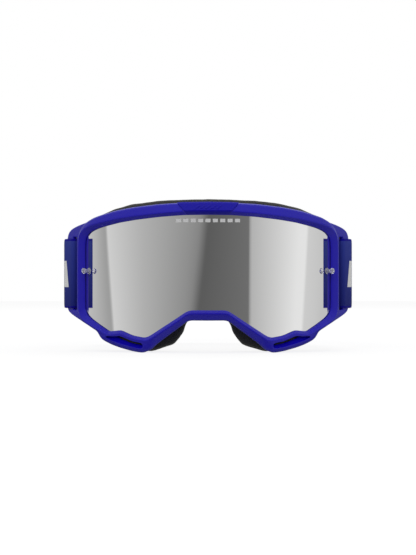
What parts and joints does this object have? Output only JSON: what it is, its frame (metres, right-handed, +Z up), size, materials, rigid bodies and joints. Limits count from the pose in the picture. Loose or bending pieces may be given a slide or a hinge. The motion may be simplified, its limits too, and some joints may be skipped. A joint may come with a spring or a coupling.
{
  "type": "motocross goggles",
  "caption": "Motocross goggles: moulded frame with side ears, cylindrical mirror lens with tear-off posts, layered face foam, wide elastic head strap with sliding adjusters.",
  "frame": {"origin": "on the floor under the middle of the overall box, midway between the front of the rim and the back of the strap", "axes": "+X to the right seen from the front, +Y from the lens back along the strap, +Z up"},
  "size_m": [0.1886, 0.2436, 0.0971],
  "materials": {
    "frame": "satin moulded polyurethane",
    "frame_trim": "satin",
    "lens": "silver mirror coating on polycarbonate",
    "post": "clear moulded",
    "foam": "open-cell foam",
    "fleece": "brushed fleece",
    "webbing": "woven elastic",
    "silicone": "glossy silicone",
    "slide_plastic": "fine grain"
  },
  "bodies": {
    "goggles": {"frame": "frame", "lens": "lens", "brow_plate": "frame_trim", "tear_off_post_left": "post", "tear_off_post_right": "post", "post_cap_left": "post", "post_cap_right": "post", "foam_base": "foam", "foam_middle": "foam", "foam_fleece": "fleece", "lower_vent_foam_left": "foam", "lower_vent_foam_right": "foam", "top_vent_foam": "foam", "strap": "webbing", "strap_hem_left": "webbing", "strap_hem_right": "webbing", "strap_grip_lower": "silicone", "strap_grip_middle": "silicone", "strap_grip_upper": "silicone"},
    "adjuster_left": {"adjuster_left": "slide_plastic"},
    "adjuster_right": {"adjuster_right": "slide_plastic"}
  },
  "joints": [
    {"name": "adjuster_left_slide", "type": "slide", "parent": "goggles", "child": "adjuster_left", "axis": [0.0872, 0.9962, 0], "range_m": [-0.02, 0.018]},
    {"name": "adjuster_right_slide", "type": "slide", "parent": "goggles", "child": "adjuster_right", "axis": [-0.0872, 0.9962, 0], "range_m": [-0.02, 0.018]}
  ]
}
